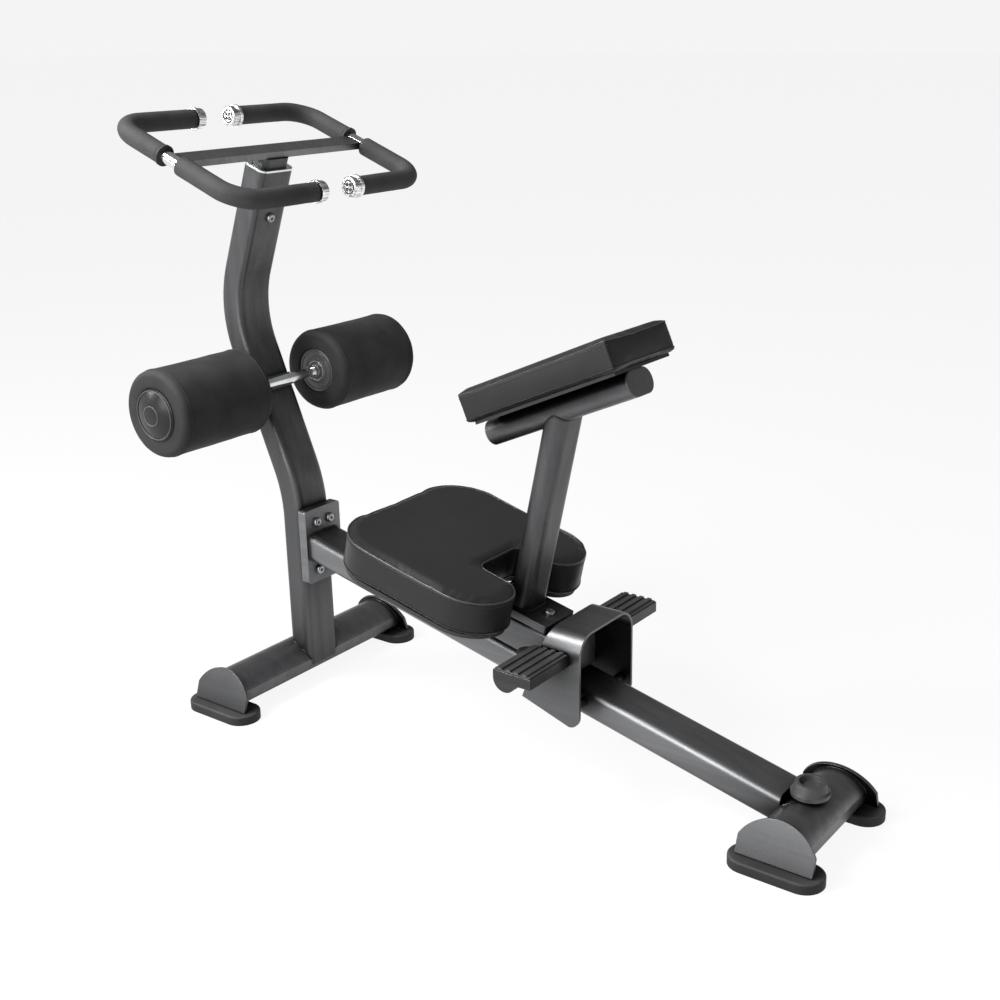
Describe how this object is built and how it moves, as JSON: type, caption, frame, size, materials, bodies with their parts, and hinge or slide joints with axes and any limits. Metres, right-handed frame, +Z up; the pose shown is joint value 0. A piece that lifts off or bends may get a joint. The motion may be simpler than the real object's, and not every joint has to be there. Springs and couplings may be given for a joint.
{
  "type": "seated stretching machine",
  "caption": "Seated stretching machine: rear post with foam thigh rollers and a handlebar ring, sloping beam on two cross feet, notched seat, raised pad and hinged foot pedals.",
  "frame": {"origin": "on the floor, in the middle of the overall length and width", "axes": "+X from the rear post towards the front foot, +Y to the left of a seated user who faces the front foot, +Z up"},
  "size_m": [1.4791, 0.6854, 1.2056],
  "materials": {
    "satin_charcoal_paint": "satin powder coat",
    "bright_steel": "polished",
    "aluminium": "turned and brushed",
    "black_rubber": "matte",
    "roller_foam": "smooth matte foam skin",
    "grip_foam": "fine open-pored foam",
    "black_plastic": "lightly grained",
    "vinyl_upholstery": "fine-grained vinyl with stitched seams",
    "black_board": "matte"
  },
  "bodies": {
    "frame": {"rear_foot_tube": "satin_charcoal_paint", "rear_end_plate_left": "satin_charcoal_paint", "rear_end_plate_right": "satin_charcoal_paint", "front_foot_tube": "satin_charcoal_paint", "front_end_plate_left": "satin_charcoal_paint", "front_end_plate_right": "satin_charcoal_paint", "rubber_feet": "black_rubber", "rear_post": "satin_charcoal_paint", "post_flange": "satin_charcoal_paint", "beam_flange": "satin_charcoal_paint", "flange_bolts": "bright_steel", "main_beam": "satin_charcoal_paint", "roller_axle": "bright_steel", "axle_collars": "bright_steel", "axle_end_bolts": "bright_steel", "axle_saddle": "satin_charcoal_paint", "post_collar": "aluminium", "handle_neck": "satin_charcoal_paint", "neck_bolt": "bright_steel", "handle_tube_left": "bright_steel", "handle_tube_right": "bright_steel", "grip_rear_left": "grip_foam", "grip_rear_right": "grip_foam", "grip_front_left": "grip_foam", "grip_front_right": "grip_foam", "grip_rings": "black_rubber", "handle_end_caps": "aluminium", "handle_crossbar": "satin_charcoal_paint", "seat_cushion": "vinyl_upholstery", "seat_board": "black_board", "seat_carrier": "satin_charcoal_paint", "mid_post_base_plate": "satin_charcoal_paint", "base_plate_bolts": "bright_steel", "mid_post": "satin_charcoal_paint", "pad_tube": "satin_charcoal_paint", "pad_tube_plug_front": "black_plastic", "pad_tube_plug_rear": "black_plastic", "pad_board": "black_board", "upper_pad": "vinyl_upholstery", "foot_bracket": "satin_charcoal_paint", "bracket_spacers": "satin_charcoal_paint", "pedal_spindle": "bright_steel", "spindle_block": "satin_charcoal_paint", "knob_seat": "satin_charcoal_paint"},
    "roller_left": {"roller_left_foam": "roller_foam", "roller_left_core": "black_plastic", "roller_left_hub_ring": "black_plastic", "roller_left_end_cap": "black_plastic"},
    "pedal_left": {"pedal_left_frame": "satin_charcoal_paint", "pedal_left_tread": "black_plastic", "pedal_left_heel": "black_rubber"},
    "roller_right": {"roller_right_foam": "roller_foam", "roller_right_core": "black_plastic", "roller_right_hub_ring": "black_plastic", "roller_right_end_cap": "black_plastic"},
    "pedal_right": {"pedal_right_frame": "satin_charcoal_paint", "pedal_right_tread": "black_plastic", "pedal_right_heel": "black_rubber"},
    "knob": {"front_knob": "black_plastic"}
  },
  "joints": [
    {"name": "roller_left_spin", "type": "hinge", "parent": "frame", "child": "roller_left", "pos_m": [-0.5786, 0.216, 0.6566], "axis": [0, 1, 0], "continuous": true},
    {"name": "roller_right_spin", "type": "hinge", "parent": "frame", "child": "roller_right", "pos_m": [-0.5786, -0.216, 0.6566], "axis": [0, 1, 0], "continuous": true},
    {"name": "pedal_left_tilt", "type": "hinge", "parent": "frame", "child": "pedal_left", "pos_m": [0.1532, 0.153, 0.255], "axis": [0, 1, 0], "range_deg": [-20, 20]},
    {"name": "pedal_right_tilt", "type": "hinge", "parent": "frame", "child": "pedal_right", "pos_m": [0.1532, -0.153, 0.255], "axis": [0, 1, 0], "range_deg": [-20, 20]},
    {"name": "knob_turn", "type": "hinge", "parent": "frame", "child": "knob", "pos_m": [0.6517, 0, 0.09], "axis": [0, 0, 1], "continuous": true}
  ]
}
